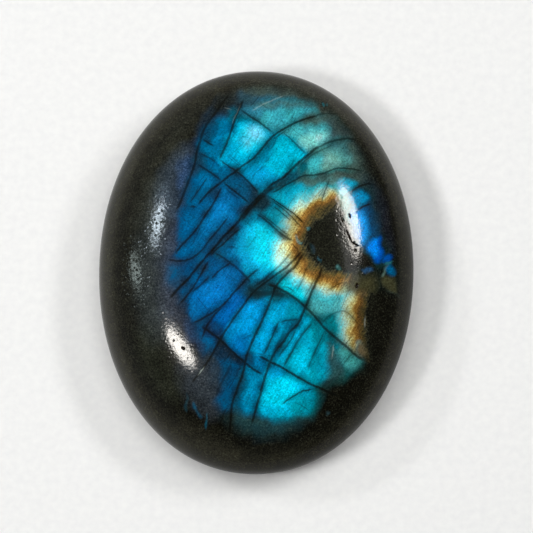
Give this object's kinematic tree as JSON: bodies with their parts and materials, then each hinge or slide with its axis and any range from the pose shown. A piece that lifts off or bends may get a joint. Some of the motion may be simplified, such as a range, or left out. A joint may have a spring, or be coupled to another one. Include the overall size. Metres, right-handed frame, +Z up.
{
  "type": "polished labradorite palm stone",
  "caption": "Oval pillow-shaped polished stone with a domed crown, a rounded edge and a small flat under it to rest on, dark grey with a blue to gold flash.",
  "frame": {"origin": "middle of the resting flat, on the surface that the stone lies on", "axes": "+Z up through the crown, +Y along the length, +X across the width"},
  "size_m": [0.05, 0.0642, 0.018],
  "materials": {
    "labradorite": "polished"
  },
  "bodies": {
    "root": {"stone": "labradorite"}
  },
  "joints": []
}
